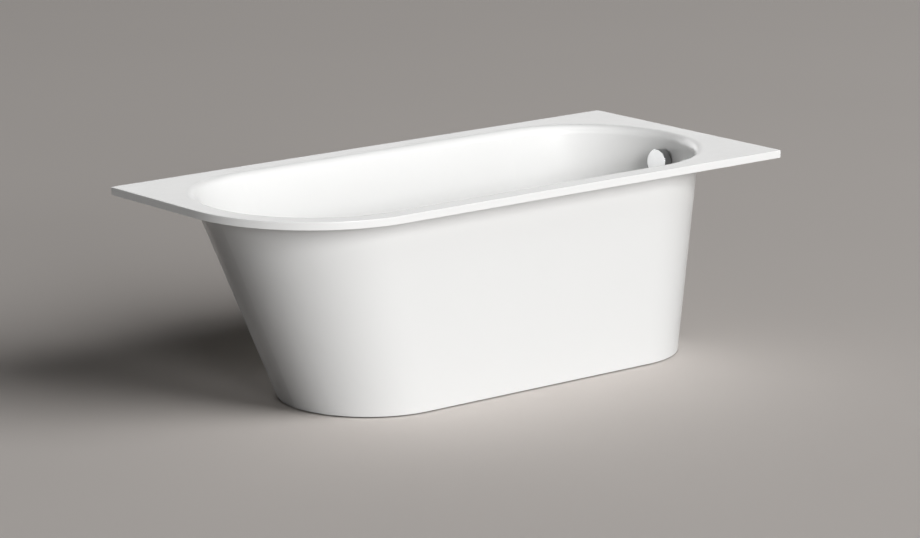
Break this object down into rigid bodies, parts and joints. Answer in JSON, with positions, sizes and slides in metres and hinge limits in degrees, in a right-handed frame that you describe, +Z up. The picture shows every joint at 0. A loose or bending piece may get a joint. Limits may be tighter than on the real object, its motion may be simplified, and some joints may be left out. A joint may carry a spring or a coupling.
{
  "type": "built-in bathtub",
  "caption": "Built-in bath with a flat rim, a large round corner, an oval basin, a tapered apron panel, levelling feet and a turning overflow knob that lifts a pop-up plug.",
  "frame": {"origin": "middle of the rim's rectangle, on the floor under the feet", "axes": "+X along the length towards the foot end, +Y towards the wall behind, +Z up"},
  "size_m": [1.8, 0.8, 0.61],
  "materials": {
    "acrylic": "glossy white sheet",
    "plywood": "bare plywood",
    "zinc_steel": "zinc plated",
    "chrome": "polished chrome",
    "seal_rubber": "moulded rubber",
    "white_pipe": "moulded plastic",
    "grey_plastic": "moulded plastic",
    "black_plastic": "moulded plastic"
  },
  "bodies": {
    "bath": {"bath_shell": "acrylic", "apron_panel": "acrylic", "rim_batten_head": "plywood", "rim_batten_front": "plywood", "rim_batten_back": "plywood", "rim_batten_foot": "plywood", "base_board": "plywood", "support_rail_head": "zinc_steel", "support_rail_foot": "zinc_steel", "rail_screws": "zinc_steel", "foot_nuts": "zinc_steel", "panel_bracket_head": "zinc_steel", "panel_bracket_foot": "zinc_steel", "panel_bracket_screws": "zinc_steel", "panel_screws": "zinc_steel", "wall_bracket_head": "zinc_steel", "wall_bracket_foot": "zinc_steel", "wall_bracket_screws": "zinc_steel", "lever_pin": "zinc_steel", "waste_flange": "chrome", "overflow_flange": "chrome", "waste_seal_upper": "seal_rubber", "waste_seal_lower": "seal_rubber", "overflow_seal": "seal_rubber", "waste_body": "white_pipe", "trap_bend": "white_pipe", "trap_outlet": "white_pipe", "overflow_body": "white_pipe", "overflow_pipe": "white_pipe", "trap_nut": "grey_plastic", "outlet_nut": "grey_plastic", "pipe_nut_upper": "grey_plastic", "pipe_nut_lower": "grey_plastic"},
    "knob": {"overflow_knob": "chrome", "knob_spindle": "zinc_steel", "cable_drum": "grey_plastic"},
    "plug": {"waste_plug": "chrome", "plug_stem": "zinc_steel", "plug_seal": "seal_rubber"},
    "lever": {"lift_lever": "grey_plastic"},
    "foot_head_front": {"foot_stud_head_front": "zinc_steel", "foot_pad_head_front": "black_plastic"},
    "foot_head_back": {"foot_stud_head_back": "zinc_steel", "foot_pad_head_back": "black_plastic"},
    "foot_foot_front": {"foot_stud_foot_front": "zinc_steel", "foot_pad_foot_front": "black_plastic"},
    "foot_foot_back": {"foot_stud_foot_back": "zinc_steel", "foot_pad_foot_back": "black_plastic"}
  },
  "joints": [
    {"name": "knob_turn", "type": "hinge", "parent": "bath", "child": "knob", "pos_m": [0.80774, 0, 0.524], "axis": [-0.9976, 0, 0.0698], "range_deg": [0, 100]},
    {"name": "plug_lift", "type": "slide", "parent": "bath", "child": "plug", "axis": [0, 0, 1], "range_m": [0, 0.01202]},
    {"name": "lever_rock", "type": "hinge", "parent": "bath", "child": "lever", "pos_m": [0.48399, 0, 0.115], "axis": [0, -1, 0], "range_deg": [0, 28.98]},
    {"name": "foot_screw_head_front", "type": "slide", "parent": "bath", "child": "foot_head_front", "axis": [0, 0, 1], "range_m": [-0.015, 0.01]},
    {"name": "foot_screw_head_back", "type": "slide", "parent": "bath", "child": "foot_head_back", "axis": [0, 0, 1], "range_m": [-0.015, 0.01]},
    {"name": "foot_screw_foot_front", "type": "slide", "parent": "bath", "child": "foot_foot_front", "axis": [0, 0, 1], "range_m": [-0.015, 0.01]},
    {"name": "foot_screw_foot_back", "type": "slide", "parent": "bath", "child": "foot_foot_back", "axis": [0, 0, 1], "range_m": [-0.015, 0.01]}
  ],
  "couplings": [
    {"joint": "plug_lift", "follows": "knob_turn", "m_per_rad": 0.0068755},
    {"joint": "lever_rock", "follows": "knob_turn", "ratio": 0.28955}
  ]
}
